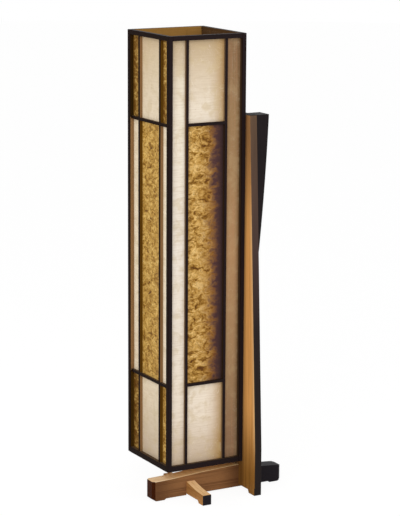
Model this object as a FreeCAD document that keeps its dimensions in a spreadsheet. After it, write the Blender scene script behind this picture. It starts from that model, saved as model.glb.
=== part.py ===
import FreeCAD, Part
import Sketcher
import os
import re

# A floor lamp: a tall square paper lantern of lacquered sticks, held clear of the floor by one
# tapered board that stands on a long beam with a short cross arm. Millimetres, +Z up. The origin
# is on the floor, in the middle of the lamp's outline seen from above.
os.makedirs("parts", exist_ok=True)
doc = FreeCAD.newDocument("FloorLantern")

SIZES = {
    # lantern
    "lantern_width": 225, "lantern_height": 1134, "lantern_lift": 80, "lantern_setback": 72.5,
    "corner_stick": 12, "rail_depth": 11, "top_rail_height": 12, "bottom_rail_height": 14,
    "lattice_setback": 4, "lattice_depth": 7, "muntin_width": 7.5, "muntin_spacing": 113,
    "bar_height": 7.5, "end_cell_height": 227, "screw_pad_height": 24, "stick_chamfer": 0.6,
    # joints of the lattice
    "tenon_thickness": 4, "tenon_length": 8, "tenon_shoulder": 1.5, "tenon_split": 0.6,
    "stub_length": 4, "stub_shoulder": 1,
    # paper
    "paper_thickness": 0.5, "paper_lap": 4, "sheet_gap": 1,
    # bottom board
    "board_thickness": 6, "board_low": 3, "board_housing": 3,
    # long beam
    "beam_length": 390, "beam_thickness": 40, "beam_end_height": 53, "beam_end_chamfer": 7,
    "beam_bend_place": 140, "beam_bend_height": 54.5, "beam_bow_place": 50, "beam_bow_height": 60.5,
    "beam_crown_height": 65, "beam_step_height": 53.5, "beam_right_height": 45,
    "beam_tip_height": 43, "beam_tip_length": 9,
    "foot_length": 25, "foot_rise": 3.5, "foot_slope": 4, "foot_inset": 10, "foot_nose": 6,
    "wood_chamfer": 0.8,
    # cross arm
    "arm_place": 83, "arm_thickness": 25, "arm_length": 218, "arm_end_height": 27,
    "arm_middle_height": 31.5, "arm_crown_height": 41, "arm_foot_length": 24, "arm_foot_rise": 7,
    "arm_lap": 17,
    # post board
    "post_place": 63, "post_thickness": 21, "post_height": 1005, "post_foot_width": 206,
    "post_top_width": 120, "post_heel": 126, "post_foot_length": 30, "post_foot_rise": 9,
    "post_lap": 33,
    # wing beside the post's top
    "wing_width": 36, "wing_depth": 46, "wing_drop": 353, "wing_middle_drop": 166,
    "wing_middle_width": 21.7,
    # screws
    "screw_shank": 3.5, "screw_head": 7, "screw_head_height": 2.4, "screw_bite": 8,
    "wing_screw_bite": 12,
    "screw_play": 0.1, "driver_width": 0.9, "driver_slot": 4, "driver_depth": 1,
    "low_screw_height": 120, "middle_screw_height": 370, "high_screw_height": 615,
    "rear_screw_height": 800, "top_screw_height": 945, "wing_screw_drop": 40,
    "wing_screw_spacing": 75,
    # lamp pole
    "pole_shift": 20, "pole_size": 10, "pole_wall": 1, "pole_height": 590,
    "flange_size": 52, "flange_thickness": 4, "collar_size": 17, "collar_height": 12,
    "flange_screw_circle": 38, "flange_screw_shank": 3, "flange_screw_head": 6,
    # bracket of the lower holder
    "bracket_height": 190, "bracket_reach": 46, "bracket_thickness": 4, "bracket_width": 26,
    "bracket_collar": 12,
    # lamp holders
    "holder_size": 37, "holder_height": 46, "holder_floor": 9, "holder_nipple": 15,
    "nipple_length": 9, "shell_size": 27.4, "shell_bore": 26.6, "shell_length": 31,
    "shell_drop": 3, "contact_size": 12, "contact_height": 2,
    # tubular bulbs
    "cap_size": 26, "cap_height": 22, "cap_foot_size": 18, "cap_foot_height": 4, "tip_size": 9,
    "tip_height": 2.5, "bulb_gap": 0.3, "bulb_size": 38, "bulb_height": 107, "glass_wall": 1,
    "neck_size": 25, "neck_height": 37,
    # terminal block and cord bush
    "block_length": 34, "block_width": 20, "block_height": 17, "block_place": 55,
    "block_screw": 5, "block_screw_depth": 6, "lead_size": 5,
    "bush_bore": 7, "bush_neck": 12, "bush_flange": 17, "bush_lip": 2.5, "bush_place": 62,
    # cuts
    "overrun": 5,
}

sheet = doc.addObject("Spreadsheet::Sheet", "Sizes")
for row, (alias, size) in enumerate(SIZES.items(), start=1):
    sheet.set("A%d" % row, alias)
    sheet.set("B%d" % row, str(size))
    sheet.setAlias("B%d" % row, alias)
doc.recompute()

kept = []


def bound(text):
    # "lantern_width / 2" becomes "Sizes.lantern_width / 2"
    return re.sub(r"[a-z][a-z_]+", lambda word: "Sizes." + word.group() if word.group() in SIZES
                  else word.group(), str(text))


def number(text):
    return float(sheet.evalExpression(bound(text)))


def new_body(label):
    body = doc.addObject("PartDesign::Body", label)
    body.Label = label
    kept.append(body)
    return body


def place(body, x="0", y="0", z="0", turn=0):
    body.Placement.Rotation = FreeCAD.Rotation(FreeCAD.Vector(0, 0, 1), turn)
    body.setExpression("Placement.Base.x", bound(x))
    body.setExpression("Placement.Base.y", bound(y))
    body.setExpression("Placement.Base.z", bound(z))


def new_sketch(body, name, role, lift="0"):
    sketch = body.newObject("Sketcher::SketchObject", body.Name + "_" + name)
    plane = next(item for item in body.Origin.OriginFeatures if item.Role == role)
    sketch.AttachmentSupport = [(plane, "")]
    sketch.MapMode = "FlatFace"
    sketch.setExpression("AttachmentOffset.Base.z", bound(lift))
    return sketch


def fix(sketch, kind, geometry, point, text):
    # one dimension from the sketch's origin to a point, bound to the sheet
    index = sketch.addConstraint(Sketcher.Constraint(kind, geometry, point, number(text)))
    sketch.setExpression("Constraints[%d]" % index, bound(text))


def outline(sketch, points):
    # a closed outline of straight edges, and of arcs where a point is ("arc", x, y)
    corners = [item for item in points if item[0] != "arc"]
    spots = [FreeCAD.Vector(number(x), number(y), 0) for x, y in corners]
    first = sketch.GeometryCount
    bends = {}
    passed = 0
    for item in points:
        if item[0] == "arc":
            bends[passed - 1] = item[1:]
        else:
            passed += 1
    for index, spot in enumerate(spots):
        after = spots[(index + 1) % len(spots)]
        if index in bends:
            middle = FreeCAD.Vector(number(bends[index][0]), number(bends[index][1]), 0)
            sketch.addGeometry(Part.Arc(spot, middle, after), False)
        else:
            sketch.addGeometry(Part.LineSegment(spot, after), False)
    starts = [1] * len(spots)
    for index, (x, y) in bends.items():
        knot = FreeCAD.Vector(number(x), number(y), 0)
        after = spots[(index + 1) % len(spots)]
        # an arc always runs anticlockwise, so a clockwise one starts at its other end
        if (knot - spots[index]).cross(after - knot).z < 0:
            starts[index] = 2
    for index in range(len(spots)):
        following = (index + 1) % len(spots)
        sketch.addConstraint(Sketcher.Constraint("Coincident", first + index, 3 - starts[index],
                                                 first + following, starts[following]))
    for index, (x, y) in enumerate(corners):
        fix(sketch, "DistanceX", first + index, starts[index], x)
        fix(sketch, "DistanceY", first + index, starts[index], y)
    for index, (x, y) in bends.items():
        knot = sketch.addGeometry(Part.Point(FreeCAD.Vector(number(x), number(y), 0)), True)
        sketch.addConstraint(Sketcher.Constraint("PointOnObject", knot, 1, first + index))
        fix(sketch, "DistanceX", knot, 1, x)
        fix(sketch, "DistanceY", knot, 1, y)


def rectangle(sketch, left, right, low, high):
    outline(sketch, [(left, low), (right, low), (right, high), (left, high)])


def circle(sketch, x, y, radius):
    index = sketch.addGeometry(Part.Circle(FreeCAD.Vector(number(x), number(y), 0),
                                           FreeCAD.Vector(0, 0, 1), number(radius)), False)
    fix(sketch, "DistanceX", index, 3, x)
    fix(sketch, "DistanceY", index, 3, y)
    turn = sketch.addConstraint(Sketcher.Constraint("Radius", index, number(radius)))
    sketch.setExpression("Constraints[%d]" % turn, bound(radius))


def pad(body, sketch, length, back=False, middle=False):
    feature = body.newObject("PartDesign::Pad", sketch.Name + "_pad")
    feature.Profile = sketch
    feature.setExpression("Length", bound(length))
    feature.Reversed = back
    feature.Midplane = middle
    sketch.Visibility = False
    return feature


def pocket(body, sketch, length=None, back=False):
    # a cut of the given length behind the sketch, or right through both ways
    feature = body.newObject("PartDesign::Pocket", sketch.Name + "_cut")
    feature.Profile = sketch
    if length is None:
        feature.Type = "ThroughAll"
        feature.Midplane = True
    else:
        feature.setExpression("Length", bound(length))
        feature.Reversed = back
    return feature


def revolve(body, sketch):
    feature = body.newObject("PartDesign::Revolution", sketch.Name + "_turn")
    feature.Profile = sketch
    feature.ReferenceAxis = (sketch, ["V_Axis"])
    return feature


def chamfer(body, base, size):
    feature = body.newObject("PartDesign::Chamfer", base.Name + "_edges")
    feature.Base = (base, [""])
    feature.UseAllEdges = True
    feature.setExpression("Size", bound(size))
    return feature


# Places that several pieces share, each worked out from the sheet's sizes.
BASE_Y = "(arm_length / 2 - lantern_setback - lantern_width / 2) / 2"
LANTERN_X = "(post_place - lantern_width / 2)"
LANTERN_Y = "(" + BASE_Y + " + lantern_setback)"
FACE = "lantern_width / 2"
CLEAR = "(lantern_width / 2 - corner_stick)"
TENON_SET = "(rail_depth - tenon_thickness) / 2"
STUB_SET = "(lattice_setback + (lattice_depth - tenon_thickness) / 2)"
LOW_BAR = "end_cell_height"
HIGH_BAR = "(lantern_height - end_cell_height)"
# Screws through the post board, across and up from where the beam's middle meets the floor.
STICK_Y = "(lantern_setback - lantern_width / 2 + corner_stick / 2)"
MUNTIN_Y = "(lantern_setback - muntin_spacing / 2)"
STICK_SCREWS = ["low_screw_height", "middle_screw_height", "high_screw_height"]
MUNTIN_SCREWS = ["rear_screw_height", "top_screw_height"]
LANTERN_SPOTS = [(STICK_Y, z) for z in STICK_SCREWS] + [(MUNTIN_Y, z) for z in MUNTIN_SCREWS]
WING_Y = "((wing_depth - post_top_width) / 2)"
WING_SPOTS = [(WING_Y, "(post_height - wing_screw_drop - %d * wing_screw_spacing)" % step)
              for step in range(3)]
SIDES = ["front", "right", "back", "left"]
CORNERS = ["front_left", "front_right", "back_right", "back_left"]


def place_face(body, side):
    # a face piece is drawn on the front face and turned round the lantern's axis
    place(body, LANTERN_X, LANTERN_Y, "lantern_lift", side * 90)


def rail_tenons(height):
    # the two tenons that meet in a corner stick pass over and under each other
    upper = ("(" + height + " + tenon_split) / 2", height + " - tenon_shoulder")
    lower = ("tenon_shoulder", "(" + height + " - tenon_split) / 2")
    return upper, lower


def has_long_bars(side):
    # the left and right faces have bars from stick to stick, the others only between muntins
    return side % 2 == 1


def corner_stick(corner):
    body = new_body(CORNERS[corner] + "_corner_stick")
    square = new_sketch(body, "section", "XY_Plane")
    rectangle(square, "-" + FACE, "-" + CLEAR, "-" + FACE, "-" + CLEAR)
    stick = pad(body, square, "lantern_height")
    chamfer(body, stick, "stick_chamfer")
    own = new_sketch(body, "own_mortises", "YZ_Plane", "-" + CLEAR)
    other = new_sketch(body, "other_mortises", "XZ_Plane", CLEAR)
    near = "(-" + FACE + " + " + TENON_SET + ")"
    far = "(" + near + " + tenon_thickness)"
    for height, foot in (("top_rail_height", "(lantern_height - top_rail_height)"),
                         ("bottom_rail_height", "0")):
        upper, lower = rail_tenons(height)
        rectangle(own, near, far, foot + " + " + upper[0], foot + " + " + upper[1])
        rectangle(other, near, far, foot + " + " + lower[0], foot + " + " + lower[1])
    pocket(body, own, "tenon_length")
    pocket(body, other, "tenon_length", back=True)
    plane = "YZ_Plane" if has_long_bars(corner) else "XZ_Plane"
    face = "-" + CLEAR if has_long_bars(corner) else CLEAR
    near = "(-" + FACE + " + " + STUB_SET + ")"
    far = "(" + near + " + tenon_thickness)"
    bars = new_sketch(body, "bar_mortises", plane, face)
    for middle in (LOW_BAR, HIGH_BAR):
        rectangle(bars, near, far, middle + " - bar_height / 2 + stub_shoulder",
                  middle + " + bar_height / 2 - stub_shoulder")
    pocket(body, bars, "stub_length", back=not has_long_bars(corner))
    if CORNERS[corner] == "front_right":
        spots = [("(corner_stick / 2 - " + FACE + ")", z + " - lantern_lift") for z in STICK_SCREWS]
        screw_holes(body, "screw_holes", "XZ_Plane", FACE, spots, "screw_bite")
    place_face(body, corner)


def rail(side, name, height, foot):
    body = new_body(SIDES[side] + "_" + name)
    front = new_sketch(body, "elevation", "XZ_Plane", FACE)
    rectangle(front, "-" + CLEAR, CLEAR, foot, foot + " + " + height)
    pad(body, front, "rail_depth", back=True)
    upper, lower = rail_tenons(height)
    tenons = new_sketch(body, "tenons", "XZ_Plane", FACE + " - " + TENON_SET)
    rectangle(tenons, "-(" + CLEAR + " + tenon_length)", "-" + CLEAR,
              foot + " + " + upper[0], foot + " + " + upper[1])
    rectangle(tenons, CLEAR, CLEAR + " + tenon_length",
              foot + " + " + lower[0], foot + " + " + lower[1])
    pad(body, tenons, "tenon_thickness", back=True)
    return body


def muntin_edges(hand, shoulder="0"):
    middle = "%s * muntin_spacing / 2" % hand
    return (middle + " - muntin_width / 2 + " + shoulder, middle + " + muntin_width / 2 - " + shoulder)


def stub_mortises(body, low, high):
    cuts = new_sketch(body, "mortises", "XZ_Plane", FACE + " - " + STUB_SET)
    for hand in ("-1", "1"):
        left, right = muntin_edges(hand, "stub_shoulder")
        rectangle(cuts, left, right, low, high)
    pocket(body, cuts, "tenon_thickness")


def top_rail(side):
    foot = "(lantern_height - top_rail_height)"
    body = rail(side, "top_rail", "top_rail_height", foot)
    stub_mortises(body, foot, foot + " + stub_length")
    place_face(body, side)


def bottom_rail(side):
    body = rail(side, "bottom_rail", "bottom_rail_height", "0")
    stub_mortises(body, "bottom_rail_height - stub_length", "bottom_rail_height")
    groove = new_sketch(body, "groove", "XZ_Plane", FACE + " - rail_depth + board_housing")
    rectangle(groove, "-" + CLEAR, CLEAR, "board_low", "board_low + board_thickness")
    pocket(body, groove, "board_housing")
    place_face(body, side)


def muntins(side):
    body = new_body(SIDES[side] + "_muntins")
    front = new_sketch(body, "elevation", "XZ_Plane", FACE + " - lattice_setback")
    stubs = new_sketch(body, "stubs", "XZ_Plane", FACE + " - " + STUB_SET)
    low = "bottom_rail_height"
    high = "(lantern_height - top_rail_height)"
    for hand in ("-1", "1"):
        left, right = muntin_edges(hand)
        rectangle(front, left, right, low, high)
        left, right = muntin_edges(hand, "stub_shoulder")
        rectangle(stubs, left, right, low + " - stub_length", high + " + stub_length")
    pad(body, front, "lattice_depth", back=True)
    pad(body, stubs, "tenon_thickness", back=True)
    if has_long_bars(side):
        laps = new_sketch(body, "laps", "XZ_Plane", FACE + " - lattice_setback")
        for hand in ("-1", "1"):
            left, right = muntin_edges(hand)
            for middle in (LOW_BAR, HIGH_BAR):
                rectangle(laps, left, right, middle + " - bar_height / 2", middle + " + bar_height / 2")
        pocket(body, laps, "lattice_depth / 2")
    else:
        mortises = new_sketch(body, "bar_mortises", "XZ_Plane", FACE + " - " + STUB_SET)
        inner = "(muntin_spacing - muntin_width) / 2"
        for near, far in (("-(" + inner + " + stub_length)", "-" + inner),
                          (inner, inner + " + stub_length")):
            for middle in (LOW_BAR, HIGH_BAR):
                rectangle(mortises, near, far, middle + " - bar_height / 2 + stub_shoulder",
                          middle + " + bar_height / 2 - stub_shoulder")
        pocket(body, mortises, "tenon_thickness")
    if SIDES[side] == "right":
        # the muntin beside the post board comes out to the board where the screws bite
        spots = [("-muntin_spacing / 2", z + " - lantern_lift") for z in MUNTIN_SCREWS]
        pads = new_sketch(body, "screw_pads", "XZ_Plane", FACE)
        left, right = muntin_edges("-1")
        for across, high in spots:
            rectangle(pads, left, right, high + " - screw_pad_height / 2",
                      high + " + screw_pad_height / 2")
        pad(body, pads, "lattice_setback", back=True)
        screw_holes(body, "screw_holes", "XZ_Plane", FACE, spots, "screw_bite")
    place_face(body, side)


def bars(side):
    body = new_body(SIDES[side] + "_bars")
    reach = CLEAR if has_long_bars(side) else "((muntin_spacing - muntin_width) / 2)"
    front = new_sketch(body, "elevation", "XZ_Plane", FACE + " - lattice_setback")
    stubs = new_sketch(body, "stubs", "XZ_Plane", FACE + " - " + STUB_SET)
    for middle in (LOW_BAR, HIGH_BAR):
        rectangle(front, "-" + reach, reach, middle + " - bar_height / 2", middle + " + bar_height / 2")
        rectangle(stubs, "-(" + reach + " + stub_length)", reach + " + stub_length",
                  middle + " - bar_height / 2 + stub_shoulder",
                  middle + " + bar_height / 2 - stub_shoulder")
    pad(body, front, "lattice_depth", back=True)
    pad(body, stubs, "tenon_thickness", back=True)
    if has_long_bars(side):
        laps = new_sketch(body, "laps", "XZ_Plane", FACE + " - lattice_setback - lattice_depth / 2")
        for hand in ("-1", "1"):
            left, right = muntin_edges(hand)
            for middle in (LOW_BAR, HIGH_BAR):
                rectangle(laps, left, right, middle + " - bar_height / 2", middle + " + bar_height / 2")
        pocket(body, laps, "lattice_depth / 2")
    place_face(body, side)


def paper(side):
    # nine cells behind the lattice; on the front and back the outer sheets run full height
    edge = "(muntin_spacing - sheet_gap) / 2"
    outer = "(muntin_spacing + sheet_gap) / 2"
    columns = [("-" + CLEAR, "-" + outer), ("-" + edge, edge), (outer, CLEAR)]
    bottom = "bottom_rail_height - paper_lap"
    top = "lantern_height - top_rail_height + paper_lap"
    rows = [(bottom, LOW_BAR + " - sheet_gap / 2"),
            (LOW_BAR + " + sheet_gap / 2", HIGH_BAR + " - sheet_gap / 2"),
            (HIGH_BAR + " + sheet_gap / 2", top)]
    sheets = {"cream": [], "amber": []}
    for column, (left, right) in enumerate(columns):
        for row, (low, high) in enumerate(rows):
            if has_long_bars(side):
                tone = "amber" if (column + row) % 2 == 0 else "cream"
                sheets[tone].append((left, right, low, high))
            elif column == 1:
                sheets["amber" if row == 1 else "cream"].append((left, right, low, high))
        if not has_long_bars(side) and column != 1:
            sheets["cream"].append((left, right, bottom, top))
    for tone, cells in sheets.items():
        body = new_body(SIDES[side] + "_" + tone + "_paper")
        front = new_sketch(body, "sheets", "XZ_Plane", FACE + " - rail_depth")
        for cell in cells:
            rectangle(front, *cell)
        pad(body, front, "paper_thickness", back=True)
        place_face(body, side)


def bottom_board():
    body = new_body("bottom_board")
    plan = new_sketch(body, "plan", "XY_Plane", "board_low")
    half = "(lantern_width / 2 - rail_depth + board_housing)"
    quarter = [(half, "-" + CLEAR), (half, CLEAR), (CLEAR, CLEAR), (CLEAR, half),
               ("-" + CLEAR, half), ("-" + CLEAR, CLEAR), ("-" + half, CLEAR), ("-" + half, "-" + CLEAR),
               ("-" + CLEAR, "-" + CLEAR), ("-" + CLEAR, "-" + half), (CLEAR, "-" + half),
               (CLEAR, "-" + CLEAR)]
    outline(plan, quarter)
    pad(body, plan, "board_thickness")
    hole = new_sketch(body, "holes", "XY_Plane", "board_low")
    circle(hole, "0", "bush_place", "bush_neck / 2")
    for x, y in flange_spots():
        circle(hole, x + " - pole_shift", y, "(flange_screw_shank + screw_play) / 2")
    pocket(body, hole)
    place_face(body, 0)


def long_beam():
    body = new_body("long_beam")
    side = new_sketch(body, "outline", "XZ_Plane")
    end = "beam_length / 2"
    foot = "(" + end + " - foot_inset)"
    heel = "(" + foot + " - foot_length)"
    outline(side, [
        ("-" + end, "foot_nose"), ("-" + foot, "0"), ("-" + heel, "0"),
        ("-(" + heel + " - foot_slope)", "foot_rise"), (heel + " - foot_slope", "foot_rise"),
        (heel, "0"), (foot, "0"), (end, "foot_nose"),
        (end, "beam_tip_height"), (end + " - beam_tip_length", "beam_right_height"),
        ("post_place + post_thickness", "beam_step_height"), ("post_place", "beam_crown_height"),
        ("arc", "-beam_bow_place", "beam_bow_height"), ("-beam_bend_place", "beam_bend_height"),
        ("-" + end, "beam_end_height")])
    solid = pad(body, side, "beam_thickness", middle=True)
    chamfer(body, solid, "wood_chamfer")
    corners = new_sketch(body, "end_corners", "XY_Plane")
    outer = "(beam_thickness / 2 + overrun)"
    inner = "(beam_thickness / 2 - beam_end_chamfer)"
    for way in ("-", ""):
        for hand in ("-", ""):
            outline(corners, [(way + "(" + end + " + overrun)", hand + outer),
                              (way + "(" + end + " + overrun)", hand + "(" + inner + " - overrun)"),
                              (way + "(" + end + " - beam_end_chamfer - overrun)", hand + outer)])
    pocket(body, corners)
    laps = new_sketch(body, "laps", "XZ_Plane")
    rectangle(laps, "-(arm_place + arm_thickness / 2)", "-(arm_place - arm_thickness / 2)",
              "-overrun", "arm_crown_height - arm_lap")
    rectangle(laps, "post_place", "post_place + post_thickness", "post_lap",
              "beam_crown_height + overrun")
    pocket(body, laps)
    place(body, "0", BASE_Y, "0")


def cross_arm():
    body = new_body("cross_arm")
    side = new_sketch(body, "outline", "YZ_Plane")
    end = "arm_length / 2"
    heel = "(" + end + " - arm_foot_length)"
    flank = "beam_thickness / 2"
    bend = "(arm_length / 4 + beam_thickness / 4)"
    outline(side, [
        ("-" + end, "0"), ("-" + heel, "0"), ("-(" + heel + " - foot_slope)", "arm_foot_rise"),
        (heel + " - foot_slope", "arm_foot_rise"), (heel, "0"), (end, "0"), (end, "arm_end_height"),
        ("arc", bend, "arm_middle_height"), (flank, "arm_crown_height"),
        ("-" + flank, "arm_crown_height"), ("arc", "-" + bend, "arm_middle_height"),
        ("-" + end, "arm_end_height")])
    solid = pad(body, side, "arm_thickness", middle=True)
    chamfer(body, solid, "wood_chamfer")
    lap = new_sketch(body, "lap", "YZ_Plane")
    rectangle(lap, "-" + flank, flank, "arm_crown_height - arm_lap", "arm_crown_height + overrun")
    pocket(body, lap)
    place(body, "-arm_place", BASE_Y, "0")


def post_board():
    body = new_body("post_board")
    side = new_sketch(body, "outline", "YZ_Plane")
    foot = "post_foot_width / 2"
    heel = "(" + foot + " - post_foot_length)"
    top = "post_top_width / 2"
    outline(side, [
        ("-" + foot, "0"), ("-" + heel, "0"), ("-(" + heel + " - foot_slope)", "post_foot_rise"),
        (heel + " - foot_slope", "post_foot_rise"), (heel, "0"), (foot, "0"), (foot, "post_heel"),
        (top, "post_height"), ("-" + top, "post_height"), ("-" + foot, "post_heel")])
    solid = pad(body, side, "post_thickness")
    chamfer(body, solid, "wood_chamfer")
    lap = new_sketch(body, "lap", "YZ_Plane")
    rectangle(lap, "-beam_thickness / 2", "beam_thickness / 2", "-overrun", "post_lap")
    pocket(body, lap)
    screw_holes(body, "screw_holes", "YZ_Plane", "post_thickness", LANTERN_SPOTS + WING_SPOTS,
                "post_thickness")
    head_holes(body, "lantern_heads", "post_thickness", LANTERN_SPOTS)
    head_holes(body, "wing_heads", "0", WING_SPOTS, back=True)
    place(body, "post_place", BASE_Y, "0")


def post_wing():
    # a tapered piece on the post's outer face, flush with its top and with its slanting edge
    body = new_body("post_wing")
    front = new_sketch(body, "outline", "XZ_Plane", "post_foot_width / 2")
    outline(front, [
        ("0", "post_height - wing_drop"),
        ("arc", "wing_middle_width", "post_height - wing_middle_drop"),
        ("wing_width", "post_height"), ("0", "post_height")])
    back = "(post_top_width / 2 - wing_depth)"
    pad(body, front, "post_foot_width / 2 - " + back, back=True)
    trim = new_sketch(body, "trim", "YZ_Plane")
    outline(trim, [
        ("-post_foot_width / 2", "post_heel"), ("-post_top_width / 2", "post_height"),
        ("-post_top_width / 2", "post_height + overrun"),
        ("-(post_foot_width / 2 + overrun)", "post_height + overrun"),
        ("-(post_foot_width / 2 + overrun)", "post_heel")])
    pocket(body, trim)
    screw_holes(body, "screw_holes", "YZ_Plane", "0", WING_SPOTS, "wing_screw_bite", back=True)
    place(body, "post_place + post_thickness", BASE_Y, "0")


def spin(body, name, profile, x="0", y="0", z="0"):
    # a turned piece: half of its section, with radii to the right of the axis
    half = new_sketch(body, name, "XZ_Plane")
    outline(half, profile)
    feature = revolve(body, half)
    place(body, x, y, z)
    return feature


# Places inside the lantern, measured from the floor.
FLOOR = "(lantern_lift + board_low + board_thickness)"
POLE_X = "(" + LANTERN_X + " - pole_shift)"
LOW_X = "(" + POLE_X + " + bracket_reach)"
POLE_TOP = "(" + FLOOR + " + pole_height)"
LOW_SEAT = "(" + FLOOR + " + bracket_height)"
CONTACT = "(holder_floor + contact_height)"


def lamp_pole():
    body = new_body("lamp_pole")
    plan = new_sketch(body, "section", "XY_Plane")
    circle(plan, "0", "0", "pole_size / 2")
    circle(plan, "0", "0", "pole_size / 2 - pole_wall")
    pad(body, plan, "pole_height")
    place(body, POLE_X, LANTERN_Y, FLOOR)


def pole_flange():
    body = new_body("pole_flange")
    spin(body, "profile", [
        ("pole_size / 2", "0"), ("flange_size / 2", "0"), ("flange_size / 2", "flange_thickness"),
        ("collar_size / 2", "flange_thickness"), ("collar_size / 2", "collar_height"),
        ("pole_size / 2", "collar_height")], POLE_X, LANTERN_Y, FLOOR)
    holes = new_sketch(body, "screw_holes", "XY_Plane")
    for x, y in flange_spots():
        circle(holes, x, y, "(flange_screw_shank + screw_play) / 2")
    pocket(body, holes)


def flange_spots():
    # three places on the flange's screw circle
    radius = "flange_screw_circle / 2"
    return [("%s * cos(%d deg)" % (radius, turn), "%s * sin(%d deg)" % (radius, turn))
            for turn in (0, 120, 240)]


def flange_screws():
    # button heads that sit on the flange, with shanks that bite into the board
    body = new_body("flange_screws")
    shanks = new_sketch(body, "shanks", "XY_Plane", "-board_thickness")
    heads = new_sketch(body, "heads", "XY_Plane", "flange_thickness")
    for x, y in flange_spots():
        circle(shanks, x, y, "flange_screw_shank / 2")
        circle(heads, x, y, "flange_screw_head / 2")
    pad(body, shanks, "board_thickness + flange_thickness")
    pad(body, heads, "flange_screw_shank / 2")
    place(body, POLE_X, LANTERN_Y, FLOOR)


def lower_bracket():
    # a flat arm clamped on the pole by its collar, with the lower holder on its far end
    body = new_body("lower_bracket")
    plan = new_sketch(body, "plan", "XY_Plane", "-bracket_thickness")
    half = "bracket_width / 2"
    outline(plan, [
        ("0", "-" + half), ("bracket_reach", "-" + half), ("arc", "bracket_reach + " + half, "0"),
        ("bracket_reach", half), ("0", half), ("arc", "-" + half, "0")])
    pad(body, plan, "bracket_thickness")
    ring = new_sketch(body, "ring", "XY_Plane", "-(bracket_thickness + bracket_collar)")
    circle(ring, "0", "0", "collar_size / 2")
    pad(body, ring, "bracket_collar")
    bores = new_sketch(body, "bores", "XY_Plane")
    circle(bores, "0", "0", "pole_size / 2")
    circle(bores, "bracket_reach", "0", "holder_nipple / 2")
    pocket(body, bores)
    place(body, POLE_X, LANTERN_Y, LOW_SEAT)


def lamp_holder(name, x, seat):
    # a porcelain cup on a nipple, a brass screw shell in it and the centre contact on its floor
    cup = new_body(name + "_holder_cup")
    outer = "holder_size / 2"
    spin(cup, "profile", [
        ("pole_size / 2", "-nipple_length"), ("holder_nipple / 2", "-nipple_length"),
        ("holder_nipple / 2", "0"), (outer, "0"), (outer, "holder_height"),
        ("shell_size / 2", "holder_height"), ("shell_size / 2", "holder_floor"),
        ("0", "holder_floor"), ("0", "0"), ("pole_size / 2", "0")], x, LANTERN_Y, seat)
    shell = new_body(name + "_holder_shell")
    high = "(holder_height - shell_drop)"
    spin(shell, "profile", [
        ("shell_bore / 2", high + " - shell_length"), ("shell_size / 2", high + " - shell_length"),
        ("shell_size / 2", high), ("shell_bore / 2", high)], x, LANTERN_Y, seat)
    contact = new_body(name + "_holder_contact")
    spin(contact, "profile", [
        ("0", "holder_floor"), ("contact_size / 2", "holder_floor"),
        ("contact_size / 2", CONTACT), ("0", CONTACT)], x, LANTERN_Y, seat)


def bulb(name, x, seat):
    # drawn up from the contact tip: tip, stepped metal cap and a thin tube of glass
    foot = "(" + seat + " + " + CONTACT + " + bulb_gap)"
    tip = new_body(name + "_bulb_tip")
    spin(tip, "profile", [
        ("0", "0"), ("tip_size / 2", "0"), ("tip_size / 2", "tip_height"), ("0", "tip_height")],
        x, LANTERN_Y, foot)
    cap = new_body(name + "_bulb_cap")
    step = "(tip_height + cap_foot_height)"
    top = "(tip_height + cap_height)"
    spin(cap, "profile", [
        ("0", "tip_height"), ("cap_foot_size / 2", "tip_height"), ("cap_foot_size / 2", step),
        ("cap_size / 2", step), ("cap_size / 2", top), ("0", top)], x, LANTERN_Y, foot)
    glass = new_body(name + "_bulb_glass")
    outer = "bulb_size / 2"
    inner = "(bulb_size / 2 - glass_wall)"
    mouth = "(neck_size / 2 - glass_wall)"
    waist = "(tip_height + neck_height)"
    spin(glass, "profile", [
        (mouth, top), ("neck_size / 2", top), ("neck_size / 2", waist), (outer, waist),
        (outer, "bulb_height"), ("0", "bulb_height"), ("0", "bulb_height - glass_wall"),
        (inner, "bulb_height - glass_wall"), (inner, waist + " + glass_wall"),
        (mouth, waist + " + glass_wall")], x, LANTERN_Y, foot)


def cord_bush():
    # a rubber bush that grips the edge of its hole in the bottom board
    body = new_body("cord_bush")
    bore = "bush_bore / 2"
    spin(body, "profile", [
        (bore, "-bush_lip"), ("bush_flange / 2", "-bush_lip"), ("bush_flange / 2", "0"),
        ("bush_neck / 2", "0"), ("bush_neck / 2", "board_thickness"),
        ("bush_flange / 2", "board_thickness"), ("bush_flange / 2", "board_thickness + bush_lip"),
        (bore, "board_thickness + bush_lip")],
        LANTERN_X, LANTERN_Y + " + bush_place", "lantern_lift + board_low")


def terminal_block():
    body = new_body("terminal_block")
    plan = new_sketch(body, "plan", "XY_Plane")
    rectangle(plan, "-block_length / 2", "block_length / 2", "-block_width / 2", "block_width / 2")
    box = pad(body, plan, "block_height")
    wells = new_sketch(body, "wells", "XY_Plane", "block_height")
    for x in ("-block_length / 4", "block_length / 4"):
        for y in ("-block_width / 4", "block_width / 4"):
            circle(wells, x, y, "block_screw / 2")
    pocket(body, wells, "block_screw_depth")
    entries = new_sketch(body, "entries", "XZ_Plane", "block_width / 2")
    for x in ("-block_length / 4", "block_length / 4"):
        circle(entries, x, "block_height / 3", "lead_size / 2")
    pocket(body, entries, "block_screw_depth")
    place(body, LANTERN_X + " + block_place", LANTERN_Y, FLOOR)


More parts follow.
